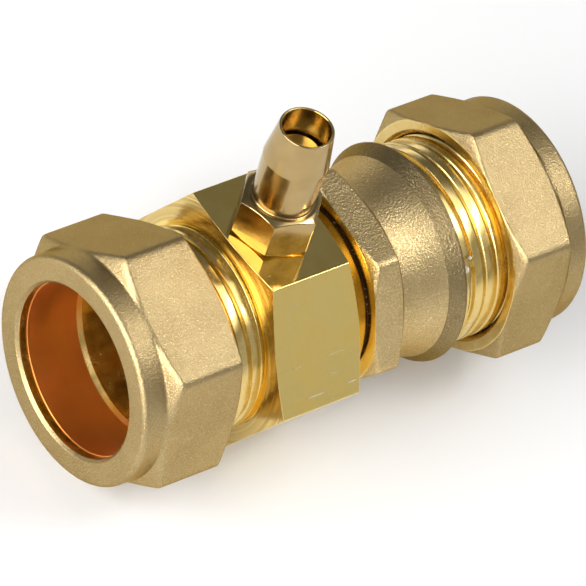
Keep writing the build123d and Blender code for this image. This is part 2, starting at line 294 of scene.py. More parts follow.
class NippleSizes(bpy.types.PropertyGroup):
    """Test nipple with its sealing screw and seal, with heights from the pipe axis."""

    axis_x: mm("Axis", "Place from the left pipe stop", 6.2)
    across_flats: mm("Across flats", "Width of the hexagon", 9.5)
    corner: turn("First corner", "Turn of the first corner from the pipe axis", 45.0)
    stub: spot("Stub", "Bottom of the screwed stub", 11.5, 4.75)
    foot_z: mm("Foot", "Bottom of the hexagon", 15.0)
    face_r: mm("Face radius", "Hexagon's turned faces", 4.45)
    cut: mm("Corner cut", "Height of the corner cuts", 0.5)
    hex_z: mm("Hexagon top", "Top of the hexagon", 20.9)
    waist_r: mm("Waist radius", "Above the hexagon", 3.9)
    belly: spot("Belly", "Widest part", 27.7, 4.15)
    rim: spot("Rim", "Top of the nipple", 33.0, 3.43)
    bore_r: mm("Bore radius", "Bore above the seal", 3.12)
    seat_z: mm("Seat", "Height of the seat under the seal", 26.2)
    hole: spot("Screw hole", "Bottom of the hole for the screw", 18.0, 2.05)
    gas_r: mm("Gas way radius", "Gas way", 1.0)
    edge: mm("Edge", "Width of the broken edges", 0.09)
    head: spot("Head", "Top of the screw's head", 29.0, 2.82)
    head_bottom_z: mm("Head bottom", "Underside of the screw's head", 27.0)
    shank: spot("Shank", "Bottom of the screw's shank", 18.8, 2.0)
    shank_flat: mm("Shank flat", "Depth of the flat that lets gas past", 0.5)
    slot: mm("Slot width", "Width of the screwdriver slot", 0.8)
    slot_depth: mm("Slot depth", "Depth of the screwdriver slot", 0.9)
    slot_turn: turn("Slot turn", "Turn of the slot from the pipe axis", -49.8)
    seal_r: mm("Seal bore radius", "Hole in the seal", 2.3)


class StageSettings(bpy.types.PropertyGroup):
    """Camera and floor."""

    camera_at: vector("Camera", "Place of the camera", "XYZ", (-0.48762, -0.41410, 0.65600), unit="LENGTH")
    camera_right: vector(
        "Camera right", "Direction of the picture's right side", "DIRECTION", (0.7866, -0.5674, 0.2436),
    )
    camera_up: vector("Camera up", "Direction of the picture's top", "DIRECTION", (0.2939, 0.6910, 0.6604))
    lens: FloatProperty(name="Lens", description="Focal length in millimetres", default=458.7)
    sensor: FloatProperty(name="Sensor", description="Width of the sensor in millimetres", default=36.0)
    floor_colour: vector(
        "Floor colour", "Colour of the floor near the object", "COLOR", (0.82, 0.82, 0.82), min=0.0, max=1.0,
    )
    # painted shade: the floor is darker far from the object, a painted falloff of the lamps' light
    floor_shade: vector(
        "Floor painted shade", "Painted shade of the floor far away", "COLOR", (0.32, 0.32, 0.32), min=0.0, max=1.0,
    )
    floor_lift: FloatProperty(
        name="Floor lift", description="Light of the floor where it is seen or mirrored", default=0.10,
    )
    # The painted shade of the floor grows between these distances
    floor_near: mm("Floor near", "Where the floor starts to darken", 110.0)
    floor_far: mm("Floor far", "Where the floor has its darker shade", 260.0)
    floor_half: mm("Floor", "Half the width of the floor", 2500.0)


class Drawn:
    """A group of sizes, its lengths at the scale that the pieces are drawn at."""

    def __init__(self, group):
        self.group = group

    def __getattr__(self, name):
        value, kind = getattr(self.group, name), self.group.bl_rna.properties[name]
        if kind.unit != "LENGTH":
            return value
        return tuple(v * DRAWN for v in value) if kind.is_array else value * DRAWN


def sizes(*names):
    """The scene's groups of sizes, ready to draw with."""
    return [Drawn(getattr(bpy.context.scene, PREFIX + name)) for name in names]


class Hexagon:
    """Hexagon of a width across flats, made from a blank that reaches past its corners."""

    def __init__(self, across_flats):
        self.apothem = across_flats / 2
        self.corner_r = self.apothem / math.cos(math.pi / HEX_SIDES)
        self.reach = 2 * self.corner_r - self.apothem

    def out_to(self, rim, rim_r, corner):
        """Where a cone from a rim to the corners meets the outside of the blank."""
        return rim + (corner - rim) * (self.reach - rim_r) / (self.corner_r - rim_r)


def around(point):
    """Distance of a point from the pipe axis."""
    return math.hypot(point.y, point.z)


def nothing_selected():
    """Leaves edit mode and selects nothing."""
    if bpy.context.object is not None and bpy.context.object.mode != "OBJECT":
        bpy.ops.object.mode_set(mode="OBJECT")
    bpy.ops.object.select_all(action="DESELECT")


def only(piece):
    """Selects one piece alone and makes it active."""
    nothing_selected()
    piece.select_set(True)
    bpy.context.view_layer.objects.active = piece


def in_edit_mode(piece):
    """Opens one piece in edit mode with all of it selected."""
    only(piece)
    bpy.ops.object.mode_set(mode="EDIT")
    bpy.ops.mesh.select_all(action="SELECT")


def closed_up(merge):
    """Merges the points that coincide, turns all faces outward and leaves edit mode."""
    bpy.ops.mesh.select_all(action="SELECT")
    bpy.ops.mesh.remove_doubles(threshold=merge)
    bpy.ops.mesh.normals_make_consistent(inside=False)
    bpy.ops.object.mode_set(mode="OBJECT")


def applied(piece, kind, **settings):
    """Gives a piece a modifier with the given settings and applies it."""
    only(piece)
    modifier = piece.modifiers.new(kind.lower(), kind)
    for name, value in settings.items():
        setattr(modifier, name, value)
    bpy.ops.object.modifier_apply(modifier=modifier.name)


def rounded(corners):
    """Outline through (place, radius, rounding) corners, those with a rounding turned into arcs."""
    outline = []
    for i, (a, b, rounding) in enumerate(corners):
        here = Vector((a, b))
        if not rounding:
            outline.append((a, b))
            continue
        before = Vector(corners[i - 1][:2]) - here
        after = Vector(corners[(i + 1) % len(corners)][:2]) - here
        half = before.angle(after) / 2
        reach = min(rounding / math.tan(half), ARC_SHARE * before.length, ARC_SHARE * after.length)
        middle = (before.normalized() + after.normalized()).normalized()
        centre = here + middle * (reach / math.cos(half))
        start = here + before.normalized() * reach - centre
        end = here + after.normalized() * reach - centre
        sweep = math.atan2(start.x * end.y - start.y * end.x, start.dot(end))
        steps = max(2, math.ceil(abs(sweep) / ARC_STEP))
        for k in range(steps + 1):
            a_k = sweep * k / steps
            outline.append((
                centre.x + start.x * math.cos(a_k) - start.y * math.sin(a_k),
                centre.y + start.x * math.sin(a_k) + start.y * math.cos(a_k),
            ))
    return outline


def with_stations(outline, low, high):
    """Outline with extra points on the runs whose places lie between low and high."""
    result = []
    for i, here in enumerate(outline):
        there = outline[(i + 1) % len(outline)]
        result.append(here)
        if low <= min(here[0], there[0]) and max(here[0], there[0]) <= high:
            cuts = math.ceil(math.dist(here, there) / STATION_GAP)
            result += [
                (here[0] + (there[0] - here[0]) * k / cuts, here[1] + (there[1] - here[1]) * k / cuts)
                for k in range(1, cuts)
            ]
    return result


def draw_outline(name, points):
    """Closed outline drawn point by point: a plane merged to one vertex, which is then extruded."""
    nothing_selected()
    bpy.ops.mesh.primitive_plane_add(size=1.0, location=(0, 0, 0))
    piece = bpy.context.object
    piece.name = name
    piece.data.name = name
    in_edit_mode(piece)
    bpy.ops.mesh.merge(type="CENTER")
    bpy.ops.transform.translate(value=points[0])
    at = Vector(points[0])
    for point in list(points[1:]) + [points[0]]:
        step = Vector(point) - at
        bpy.ops.mesh.extrude_region_move(TRANSFORM_OT_translate={"value": step})
        at = Vector(point)
    bpy.ops.mesh.select_all(action="SELECT")
    bpy.ops.mesh.remove_doubles(threshold=MERGE)
    return piece


def turned_x(name, outline, steps=TURN_STEPS):
    """Piece turned about the pipe axis from a closed outline of (place, radius) points."""
    piece = draw_outline(name, [(x, 0.0, r) for x, r in outline])
    return spun(piece, ALONG, (0, 0, 0), steps)


def turned_z(name, outline, axis_x, steps):
    """Piece turned about the nipple's axis from a closed outline of (height, radius) points."""
    piece = draw_outline(name, [(axis_x + r, 0.0, z) for z, r in outline])
    return spun(piece, UP, (axis_x, 0, 0), steps)


def spun(piece, axis, centre, steps):
    """Spins the outline in edit mode into a closed piece."""
    bpy.ops.mesh.spin(steps=steps, angle=math.tau, center=centre, axis=axis)
    closed_up(MERGE)
    return piece


def flat_directions(first_corner, start):
    """Directions of a hexagon's flats, its corners counted from a start direction towards +Y."""
    turns = [first_corner + math.tau / HEX_SIDES * (k + 0.5) for k in range(HEX_SIDES)]
    return [start * math.cos(t) + Vector((0, math.sin(t), 0)) for t in turns]


def mill_flats(piece, centre, apothem, directions, inside):
    """Cuts flats off a turned piece, where the given test of a vertex holds."""
    for outward in directions:
        in_edit_mode(piece)
        bpy.ops.mesh.select_all(action="DESELECT")
        mesh = bmesh.from_edit_mesh(piece.data)
        for face in mesh.faces:
            face.select_set(all(inside(v.co) for v in face.verts))
        bmesh.update_edit_mesh(piece.data)
        bpy.ops.mesh.bisect(
            plane_co=Vector(centre) + outward * apothem, plane_no=outward,
            use_fill=True, clear_outer=True, threshold=ON_PLANE,
        )
    closed_up(MILLED_MERGE)


def break_edges(piece, width, least):
    """Bevels the edges that are sharper than the least angle."""
    applied(
        piece, "BEVEL", width=width, segments=2, limit_method="ANGLE",
        angle_limit=math.radians(least),
    )


def soft_least(a, b, soft):
    """The lesser of two radii, with a rounded change from one to the other."""
    if soft <= 0:
        return min(a, b)
    near = max(soft - abs(a - b), 0.0) / soft
    return min(a, b) - near * near * soft / 4


def press_flats(piece, apothem, directions, low, high, soft, corner_soft, ramp):
    """Presses a turned piece into a stamped hexagon between two places, with soft edges."""
    for vertex in piece.data.vertices:
        x, y, z = vertex.co
        radius = math.hypot(y, z)
        if not low <= x <= high or radius < apothem - PRESS_DEPTH:
            continue
        out = Vector((0, y, z)) / radius
        facing = sorted((out.dot(d) for d in directions), reverse=True)
        hexagon = soft_least(apothem / facing[0], apothem / max(facing[1], LEAST_FACING), corner_soft)
        blend = soft * min(1.0, max(0.0, min(x - low, high - x) / ramp))
        vertex.co = Vector((x, 0, 0)) + out * soft_least(radius, hexagon, blend)


def cut_away(piece, cutter):
    """Takes one drawn piece out of another and removes the cutter."""
    applied(piece, "BOOLEAN", operation="DIFFERENCE", solver="EXACT", object=cutter)
    only(cutter)
    bpy.ops.object.delete()


def joined(piece, other):
    """Puts another drawn piece into the first one's mesh."""
    only(piece)
    other.select_set(True)
    bpy.ops.object.join()
    return piece


def wound(base_r, tip_r, half_base, land, start, turns, pitch, fade, low_r):
    """Thread ridge wound about the pipe axis, from a (place, turn) start, fading to low_r at both ends."""
    middle_x, start_turn = start
    section = []
    for k in range(-RIDGE_POINTS, RIDGE_POINTS + 1):
        share = k / RIDGE_POINTS
        fall = max(0.0, abs(share) - land) / (1 - land)
        rise = (0.5 + 0.5 * math.cos(math.pi * fall)) * (1 - LAND_CROWN * share * share)
        section.append((middle_x + half_base * share, base_r + (tip_r - base_r) * rise))
    across = (math.cos(start_turn), math.sin(start_turn))
    piece = draw_outline("ridge", [(x, r * across[0], r * across[1]) for x, r in section])
    steps = round(RIDGE_STEPS * turns)
    applied(
        piece, "SCREW", axis="X", angle=math.tau * turns, screw_offset=pitch * turns,
        steps=steps, render_steps=steps, use_merge_vertices=False,
    )
    count = len(section)
    for vertex in piece.data.vertices:
        along = (vertex.index // count) / steps * turns
        share = min(1.0, along / fade, (turns - along) / fade)
        share = share * share * (3 - 2 * share)
        radius = around(vertex.co)
        wanted = low_r + (radius - low_r) * share
        vertex.co.y *= wanted / radius
        vertex.co.z *= wanted / radius
    in_edit_mode(piece)
    bpy.ops.mesh.select_all(action="DESELECT")
    bpy.ops.mesh.select_non_manifold(extend=False)
    bpy.ops.mesh.edge_face_add()
    bpy.ops.mesh.select_all(action="SELECT")
    bpy.ops.mesh.normals_make_consistent(inside=False)
    bpy.ops.object.mode_set(mode="OBJECT")
    return piece


def male_ridge(ends, start_x, end_x):
    """Ridge of a male thread between two drawn places."""
    pitch = ends.pitch
    return wound(
        ends.valley_r, ends.crest_r, pitch / 2, MALE_LAND, (start_x, ends.thread_turn),
        (end_x - start_x) / pitch, pitch, MALE_FADE, ends.valley_r - MALE_FADE_SINK,
    )


def finished(piece, finishes, body, nodes=(), smooth=SMOOTH):
    """Brings a drawn piece to its real size and gives it its finishes, its body and its node."""
    in_edit_mode(piece)
    bpy.ops.transform.resize(value=(1 / DRAWN,) * 3, center_override=(0, 0, 0))
    bpy.ops.object.mode_set(mode="OBJECT")
    bpy.ops.object.shade_smooth_by_angle(angle=math.radians(smooth))
    applied(piece, "WEIGHTED_NORMAL", keep_sharp=True, weight=FACE_WEIGHT)
    for name in finishes:
        piece.data.materials.append(finish_named(name))
    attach(piece, body)
    if nodes:
        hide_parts(*nodes)


def other_finish(piece, index, test):
    """Gives another of the piece's finishes to the faces whose drawn middle passes the test."""
    for face in piece.data.polygons:
        if test(face.center):
            face.material_index = index


def ranges(*limits):
    """Sockets of a map from one range of values to another."""
    return dict(zip(("From Min", "From Max", "To Min", "To Max"), limits))


class Nodes:
    """A tree of nodes whose sockets take constants or the values of other nodes."""

    def __init__(self, owner):
        owner.use_nodes = True
        self.nodes = owner.node_tree.nodes
        self.links = owner.node_tree.links

    def feed(self, node, sockets):
        """Sets or links a node's sockets, given by name or number."""
        for socket, value in sockets.items():
            if isinstance(value, bpy.types.NodeSocket):
                self.links.new(value, node.inputs[socket])
            else:
                node.inputs[socket].default_value = value
        return node

    def node(self, kind, sockets=None, **settings):
        """A new node with its settings made and its sockets fed."""
        node = self.nodes.new(kind)
        for name, value in settings.items():
            setattr(node, name, value)
        return self.feed(node, sockets or {})


class Finish(Nodes):
    """A material whose detail comes from nodes that read the piece's own coordinates."""

    def __init__(self, name):
        self.material = bpy.data.materials.new(name)
        super().__init__(self.material)
        self.shader = self.nodes["Principled BSDF"]
        self.place = self.node("ShaderNodeTexCoord").outputs["Object"]

    def mapped(self, scale, shift=(0, 0, 0)):
        """The piece's coordinates in millimetres, scaled along each axis and shifted."""
        sockets = {"Vector": self.place, "Scale": [DRAWN * s for s in scale], "Location": shift}
        return self.node("ShaderNodeMapping", sockets).outputs["Vector"]

    def noise(self, scale, detail, rough):
        """Noise with the given grains a millimetre along each axis."""
        return self.node("ShaderNodeTexNoise", {
            "Vector": self.mapped(scale), "Scale": 1.0, "Detail": detail, "Roughness": rough,
        }).outputs["Fac"]

    def cells(self, scale):
        """Rounded cells with the given number a millimetre along each axis."""
        sockets = {"Vector": self.mapped(scale), "Scale": 1.0}
        return self.node("ShaderNodeTexVoronoi", sockets, feature="SMOOTH_F1").outputs["Distance"]

    def distance(self, place):
        """Distance of a place from the origin."""
        return self.node("ShaderNodeVectorMath", {0: place}, operation="LENGTH").outputs["Value"]

    def rings(self, per_millimetre):
        """Noise that changes only with the distance from the pipe axis."""
        sockets = {"W": self.distance(self.mapped((0, 1, 1))), "Scale": per_millimetre, "Detail": 2.0}
        return self.node("ShaderNodeTexNoise", sockets, noise_dimensions="1D").outputs["Fac"]

    def dash(self, middle, reach):
        """A short mark about a place, with its reach along each axis, both in millimetres."""
        place = self.mapped([1 / r for r in reach], [-m / r for m, r in zip(middle, reach)])
        return self.spread(self.distance(place), 0.6, 1.0, 1, 0)

    def spread(self, value, *limits):
        """A value brought from one range to another, smoothly."""
        sockets = {"Value": value, **ranges(*limits)}
        return self.node("ShaderNodeMapRange", sockets, interpolation_type="SMOOTHSTEP").outputs["Result"]

    def sums(self, operation, a, b):
        """Two values put together by a sum, product or other operation."""
        return self.node("ShaderNodeMath", {0: a, 1: b}, operation=operation).outputs["Value"]

    def blended(self, share, one, two):
        """A colour between two, by a share from nodes."""
        one, two = ((*c, 1.0) if isinstance(c, tuple) else c for c in (one, two))
        sockets = {"Factor": share, MIX_COLOURS[0]: one, MIX_COLOURS[1]: two}
        return self.node("ShaderNodeMix", sockets, data_type="RGBA").outputs[MIX_RESULT]

    def bump(self, height, depth):
        """A bump of the given depth in metres."""
        sockets = {"Height": height, "Strength": 1.0, "Distance": depth}
        return self.node("ShaderNodeBump", sockets).outputs["Normal"]

    def made(self, colour, roughness, normal, edge=(1.0, 1.0, 1.0), metal=1.0):
        """The finished material, with the tint that it has at a glancing angle."""
        self.feed(self.shader, {
            "Base Color": colour, "Roughness": roughness, "Normal": normal,
            "Specular Tint": (*edge, 1.0), "Metallic": metal,
        })
        return self.material


def stamped_brass(name, grain, depth, light):
    """Shot-blasted stamping: fine pits, bright points and duller patches."""
    f = Finish(name)
    pits = f.cells((grain,) * 3)
    sand = f.noise((grain * 1.7,) * 3, 3.0, 0.65)
    height = f.sums("ADD", f.sums("MULTIPLY", pits, 0.7), f.sums("MULTIPLY", sand, 0.8))
    patches = f.noise((0.16,) * 3, 4.0, 0.6)
    # light scales all three colours; the flange's lower light paints shade on its rim
    dull, plain, point = (tuple(c * light for c in colour) for colour in STAMPED_COLOURS)
    colour = f.blended(f.spread(patches, 0.35, 0.65, 0, 1), dull, plain)
    colour = f.blended(f.spread(sand, 0.46, 0.68, 0, 1), colour, point)
    roughness = f.spread(sand, 0.35, 0.65, 0.40, 0.27)
    return f.made(colour, roughness, f.bump(height, depth), STAMPED_EDGE)


def block_brass(name):
    """Bar drawn and polished along the pipe axis, with faint lines, smears and small scratches."""
    f = Finish(name)
    lines = f.noise((0.10, 9.0, 9.0), 3.0, 0.6)
    smears = f.noise((0.35, 0.22, 0.22), 3.0, 0.55)
    scratches = f.noise((0.3, 5.0, 5.0), 0.0, 0.4)
    marks = f.spread(scratches, 0.84, 0.88, 0, 1)
    for middle, reach in SCRATCHES:
        marks = f.sums("MAXIMUM", marks, f.dash(middle, reach))
    colour = f.blended(f.spread(smears, *MOST, 0, 1), (0.90, 0.66, 0.20), (0.95, 0.72, 0.25))
    colour = f.blended(marks, colour, (0.95, 0.85, 0.58))
    roughness = f.sums("ADD", f.spread(smears, *MOST, 0.06, 0.13), f.sums("MULTIPLY", marks, 0.25))
    height = f.sums("ADD", lines, f.sums("MULTIPLY", marks, -0.8))
    return f.made(colour, roughness, f.bump(height, 0.0000022))


def faced_brass(name):
    """Turned faces with rings about the pipe axis."""
    f = Finish(name)
    rings = f.rings(2.2)
    colour = f.blended(f.spread(rings, *MOST, 0, 1), (0.62, 0.44, 0.15), (0.76, 0.57, 0.22))
    return f.made(colour, f.spread(rings, *MOST, 0.20, 0.13), f.bump(f.rings(3.0), 0.000012))


def smeared(name, fine, broad, change, one, two, gloss, depth, metal=1.0):
    """A finish with a fine bump, whose colour and gloss change with a broad noise."""
    f = Finish(name)
    bumps = f.noise(*fine)
    smears = f.noise(*broad) if broad else bumps
    colour = f.blended(f.spread(smears, *change, 0, 1), one, two)
    return f.made(colour, f.spread(smears, *MOST, *gloss), f.bump(bumps, depth), metal=metal)


# How each finish is made, with the values that follow its name
FINISHES = {
    "nut_brass": (stamped_brass, 4.4, 0.00006, 0.95),
    "adaptor_brass": (stamped_brass, 3.4, 0.00007, 1.3),
    # painted shade: the stamped brass at a lower light on the flange rim, which faces down
    "flange_brass": (stamped_brass, 3.6, 0.00005, 0.60),
    "block_brass": (block_brass,),
    "faced_brass": (faced_brass,),
    "ringed_brass": (
        smeared, ((5.0, 0.3, 0.3), 2.0, 0.5), ((0.4, 0.4, 0.4), 3.0, 0.55), MOST,
        (0.71, 0.52, 0.17), (0.79, 0.60, 0.25), (0.176, 0.286), 0.000001,
    ),
    "nipple_brass": (
        smeared, ((0.3, 0.3, 10.0), 2.0, 0.5), ((0.4, 0.4, 0.4), 3.0, 0.55), MOST,
        (0.40, 0.285, 0.124), (0.46, 0.33, 0.15), (0.136, 0.221), 0.000002,
    ),
    "olive_copper": (
        smeared, ((5.0, 0.3, 0.3), 2.0, 0.5), ((0.25, 0.12, 0.12), 2.0, 0.5), (0.3, 0.75),
        (0.94, 0.41, 0.11), (0.90, 0.36, 0.09), (0.36, 0.44), 0.000004,
    ),
    # painted shade: near-black over most of the joint's ring, with pale paste showing in patches
    "joint_paste": (
        smeared, ((2.2, 2.2, 2.2), 2.0, 0.5), None, (0.64, 0.70),
        (0.07, 0.035, 0.012), (0.75, 0.70, 0.58), (0.45, 0.7), 0.00005, 0.0,
    ),
    # painted highlight: white of the specks that stand for glints on the thread
    "speck_white": (
        smeared, ((6.0, 6.0, 6.0), 2.0, 0.5), None, MOST,
        (0.80, 0.78, 0.66), (0.88, 0.87, 0.80), (0.35, 0.5), 0.00002, 0.0,
    ),
    "seal_rubber": (
        smeared, ((14.0, 14.0, 14.0), 3.0, 0.6), None, (0.4, 0.75),
        (0.018, 0.018, 0.018), (0.05, 0.048, 0.045), (0.55, 0.75), 0.00001, 0.0,
    ),
}


def finish_named(name):
    """A finish by name, made when it is first asked for."""
    make, *values = FINISHES[name]
    return bpy.data.materials.get(name) or make(name, *values)


class TESTPOINT_OT_body(bpy.types.Operator):
    """Test body: polished hexagon block with a turned male end and a tapered nose"""

    bl_idname = "testpoint.body"
    bl_label = "Test body"

    def execute(self, context):
        s, e, n = sizes("body", "ends", "nipple")
        hexagon = Hexagon(s.across_flats)
        end_x = s.end_x
        left_x, left_r = s.shoulder
        tip_x, tip_r = s.tip
        tapping_x, tapping_r = s.tapping
        foot_r = e.valley_r - RIDGE_SINK
        body = turned_x("fitting_body", rounded([
            (end_x, e.mouth_r, 0),
            (end_x, e.root_r, 0.12),
            (end_x + LEAD_CONE, foot_r, 0.1),
            (left_x, foot_r, 0.25),
            (left_x, left_r, 0.15),
            (hexagon.out_to(left_x, left_r, s.left_corner_x), hexagon.reach, 0),
            (hexagon.out_to(*s.nose, s.right_corner_x), hexagon.reach, 0),
            (*s.nose, 0),
            (tip_x, tip_r, 0.15),
            (tip_x, tapping_r + CHAMFER, 0),
            (tip_x - CHAMFER, tapping_r, 0),
            (tapping_x, tapping_r, 0),
            (tapping_x, e.waterway_r, 0.2),
            (0.0, e.waterway_r, 0.2),
            (0.0, e.socket_r, 0.15),
            (end_x + e.mouth_cone, e.socket_r, 0.2),
        ]))
        flats = flat_directions(math.pi / HEX_SIDES, UP)
        mill_flats(body, (0, 0, 0), hexagon.apothem, flats, lambda co: True)
        break_edges(body, s.edge, BLOCK_EDGE)
        low, high = GAS_WAY_END, hexagon.apothem - GAS_WAY_END
        cut_away(body, turned_z("gas_way", [
            (low, 0.0), (low, s.gas_r), (high, s.gas_r), (high, 0.0),
        ], n.axis_x, HOLE_STEPS))
        joined(body, male_ridge(e, end_x + e.left_lead, left_x - LEFT_RUN_OUT))
        slope = (s.left_corner_x - left_x) / (hexagon.corner_r - left_r)
        other_finish(body, 1, lambda c: not left_x - BESIDE <= c.x <= tip_x or around(c) < BORE_SIDE_R)
        other_finish(body, 2, lambda c: abs(c.x - left_x - slope * (around(c) - left_r)) < ON_CONE)
        finished(
            body, ("block_brass", "ringed_brass", "faced_brass"),
            "fitting", ["test_body"], THREADED_SMOOTH,
        )
        return {"FINISHED"}


class TESTPOINT_OT_adaptor(bpy.types.Operator):
    """Adaptor: stamped hexagon, waisted neck and flange, with turned ends"""

    bl_idname = "testpoint.adaptor"
    bl_label = "Adaptor"

    def execute(self, context):
        s, e = sizes("adaptor", "ends")
        hexagon = Hexagon(s.across_flats)
        spigot_x, spigot_r = s.spigot
        face_x, face_r = s.face
        neck_x, neck_r = s.neck
        flare_x, flare_r = s.flare
        end_x, thread_x = s.end_x, s.thread_x
        foot_r = e.valley_r - RIDGE_SINK
        waist = [
            (neck_x + (flare_x - neck_x) * t,
             neck_r + (flare_r - neck_r) * t - 4 * s.neck_bow * t * (1 - t), 0)
            for t in (k / WAIST_STEPS for k in range(1, WAIST_STEPS))
        ]
        outline = rounded([
            (spigot_x, s.bore_r, 0.2),
            (spigot_x, spigot_r - CHAMFER, 0),
            (spigot_x + CHAMFER, spigot_r, 0),
            (face_x, spigot_r, 0.1),
            (face_x, face_r, 0.12),
            (hexagon.out_to(face_x, face_r, s.left_corner_x), hexagon.reach, 0),
            (hexagon.out_to(neck_x, neck_r, s.right_corner_x), hexagon.reach, 0),
            (neck_x, neck_r, 0.8),
            *waist,
            (flare_x, flare_r, 0.10),
            (*s.flange, 0.22),
            (thread_x, s.flange[1] - FLANGE_DRAFT, 0.2),
            (thread_x, foot_r, 0.2),
            (end_x - LEAD_CONE, foot_r, 0.1),
            (end_x, e.root_r, 0.12),
            (end_x, e.mouth_r, 0),
            (end_x - e.mouth_cone, e.socket_r, 0.2),
            (s.stop_x, e.socket_r, 0.15),
            (s.stop_x, s.bore_r, 0.2),
        ])
        stamped_to = neck_x + NECK_BLEND
        adaptor = turned_x("fitting_adaptor", with_stations(outline, face_x, stamped_to), STAMP_STEPS)
        press_flats(
            adaptor, hexagon.apothem, flat_directions(s.corner, UP), face_x - JUST_PAST, stamped_to,
            s.soft, s.corner_soft, ADAPTOR_RAMP,
        )
        joined(adaptor, male_ridge(e, thread_x + e.right_lead, end_x - RIGHT_RUN_OUT))
        other_finish(adaptor, 1, lambda c: (
            c.x < face_x + BESIDE or c.x > thread_x - BESIDE or around(c) < BORE_SIDE_R
        ))
        # The flange rim takes the darker copy of the stamped brass: painted shade
        other_finish(adaptor, 2, lambda c: (
            flare_x + BESIDE < c.x < thread_x - FLANGE_BACK and around(c) > FLANGE_SIDE_R
        ))
        finished(
            adaptor, ("adaptor_brass", "ringed_brass", "flange_brass"),
            "fitting", ["adaptor"], THREADED_SMOOTH,
        )
        return {"FINISHED"}


class TESTPOINT_OT_nuts(bpy.types.Operator):
    """Compression nuts: round collar, stamped hexagon, coned seat and countersunk mouth"""

    bl_idname = "testpoint.nuts"
    bl_label = "Nuts"

    def execute(self, context):
        s, e, b, a = sizes("nuts", "ends", "body", "adaptor")
        left_x, right_x = b.end_x + e.left_lead, a.thread_x + e.right_lead
        self.nut(s, e, "left_nut", s.left_face_x, 1, s.left_hex, s.left_corner, left_x)
        self.nut(s, e, "right_nut", s.right_face_x, -1, s.right_hex, s.right_corner, right_x)
        return {"FINISHED"}

    def nut(self, s, e, node, face_x, inward, hex_length, first_corner, male_x):
        """One nut, with inward +1 or -1 towards its open end and a thread that fits the male one."""
        hexagon = Hexagon(s.across_flats)
        collar, collar_r = s.collar, s.collar_r
        near = collar + s.shoulder
        far = near + hex_length
        end, end_r = far + s.open_cut, hexagon.apothem + RIM_PROUD
        mouth_r, bore_r = s.mouth_r, s.bore_r
        thread_end = end - (mouth_r - bore_r)
        outline = rounded([
            (0.0, s.hole_r + s.hole_cut, 0.15),
            (0.0, collar_r, 0.75),
            (collar, collar_r, 0.5),
            (hexagon.out_to(collar, collar_r, near), hexagon.reach, 0),
            (hexagon.out_to(end, end_r, far), hexagon.reach, 0),
            (end, end_r, 0.18),
            (end, mouth_r, 0.1),
            (thread_end, bore_r, 0.1),
            (s.lip + s.seat, bore_r, 0.2),
            (s.lip, s.seat_r, 0.1),
            (s.lip, s.hole_r, 0.1),
            (s.hole_cut, s.hole_r, 0.1),
        ])

        def along(*places):
            return sorted(face_x + inward * u for u in places)

        outline = with_stations(outline, collar - COLLAR_STATIONS, end)
        nut = turned_x(node + "_body", [(face_x + inward * u, r) for u, r in outline], STAMP_STEPS)
        press_flats(
            nut, hexagon.apothem, flat_directions(first_corner, UP),
            *along(collar - COLLAR_BLEND, end + PAST_END), s.soft, s.corner_soft, NUT_RAMP,
        )
        pitch, low_r = e.pitch, bore_r + NUT_RIDGE_SINK
        low, high = along(PAST_OLIVE, thread_end - NUT_RUN_OUT)
        between = male_x + pitch * (math.ceil((low - male_x) / pitch - 0.5) + 0.5)
        joined(nut, wound(
            low_r, s.thread_r, NUT_RIDGE_HALF, NUT_LAND, (between, e.thread_turn),
            (high - between) / pitch, pitch, NUT_FADE, low_r,
        ))

        def machined(c):
            u = inward * (c.x - face_x)
            return u > end - END_FACE or (around(c) < mouth_r and u > COLLAR_EDGE)

        other_finish(nut, 1, machined)
        finished(nut, ("nut_brass", "ringed_brass"), node, [node], THREADED_SMOOTH)


class TESTPOINT_OT_paste_shade_and_glints(bpy.types.Operator):
    """Ring in the screwed joint, pale paste that is mostly dark as painted shade of the gap, and white
    specks on the right thread as painted glints
    """

    bl_idname = "testpoint.paste"
    bl_label = "Jointing paste"

    def execute(self, context):
        b, a = sizes("body", "adaptor")
        left, right = b.tip[0] - JOINT_RING_LAP, a.face[0] + JOINT_RING_LAP
        inner, outer = a.spigot[1] - BESIDE, b.tip[1] - JOINT_RING_DEPTH
        middle = ((left + right) / 2, outer - JOINT_RING_HOLLOW)
        # Fills the gap between the nose and the adaptor's face, mostly dark as painted shade of that gap
        ring = turned_x("joint_paste_ring", [
            (left, inner), (left, outer), middle, (right, outer), (right, inner),
        ])
        finished(ring, ["joint_paste"], "fitting")
        # White lumps that stand for glints on the thread's crest: painted highlights
        specks = None
        for seed, (middle, size) in enumerate(GLINT_SPECKS):
            nothing_selected()
            bpy.ops.mesh.primitive_ico_sphere_add(subdivisions=3, radius=0.5, location=(0, 0, 0))
            speck = bpy.context.object
            speck.name = "paste_specks"
            in_edit_mode(speck)
            bpy.ops.transform.vertex_random(offset=SPECK_ROUGHNESS, seed=seed)
            bpy.ops.mesh.vertices_smooth(factor=0.5)
            bpy.ops.transform.resize(value=size)
            bpy.ops.transform.translate(value=middle)
            bpy.ops.object.mode_set(mode="OBJECT")
            specks = speck if specks is None else joined(specks, speck)
        finished(specks, ["speck_white"], "fitting")
        return {"FINISHED"}


class TESTPOINT_OT_olives(bpy.types.Operator):
    """Olives: copper rings tapered at both ends"""

    bl_idname = "testpoint.olives"
    bl_label = "Olives"

    def execute(self, context):
        s, n = sizes("olives", "nuts")
        outline = rounded([
            (s.first, s.bore_r, 0.1),
            (s.first, s.end_r, 0.1),
            (s.first + s.taper, s.crown_r, 1.2),
            (s.last - s.taper, s.crown_r, 1.2),
            (s.last, s.end_r, 0.1),
            (s.last, s.bore_r, 0.1),
        ])
        for node, face_x, inward in (
            ("left_olive", n.left_face_x, 1), ("right_olive", n.right_face_x, -1),
        ):
            olive = turned_x(node + "_ring", [(face_x + inward * u, r) for u, r in outline])
            finished(olive, ["olive_copper"], node, [node])
        return {"FINISHED"}


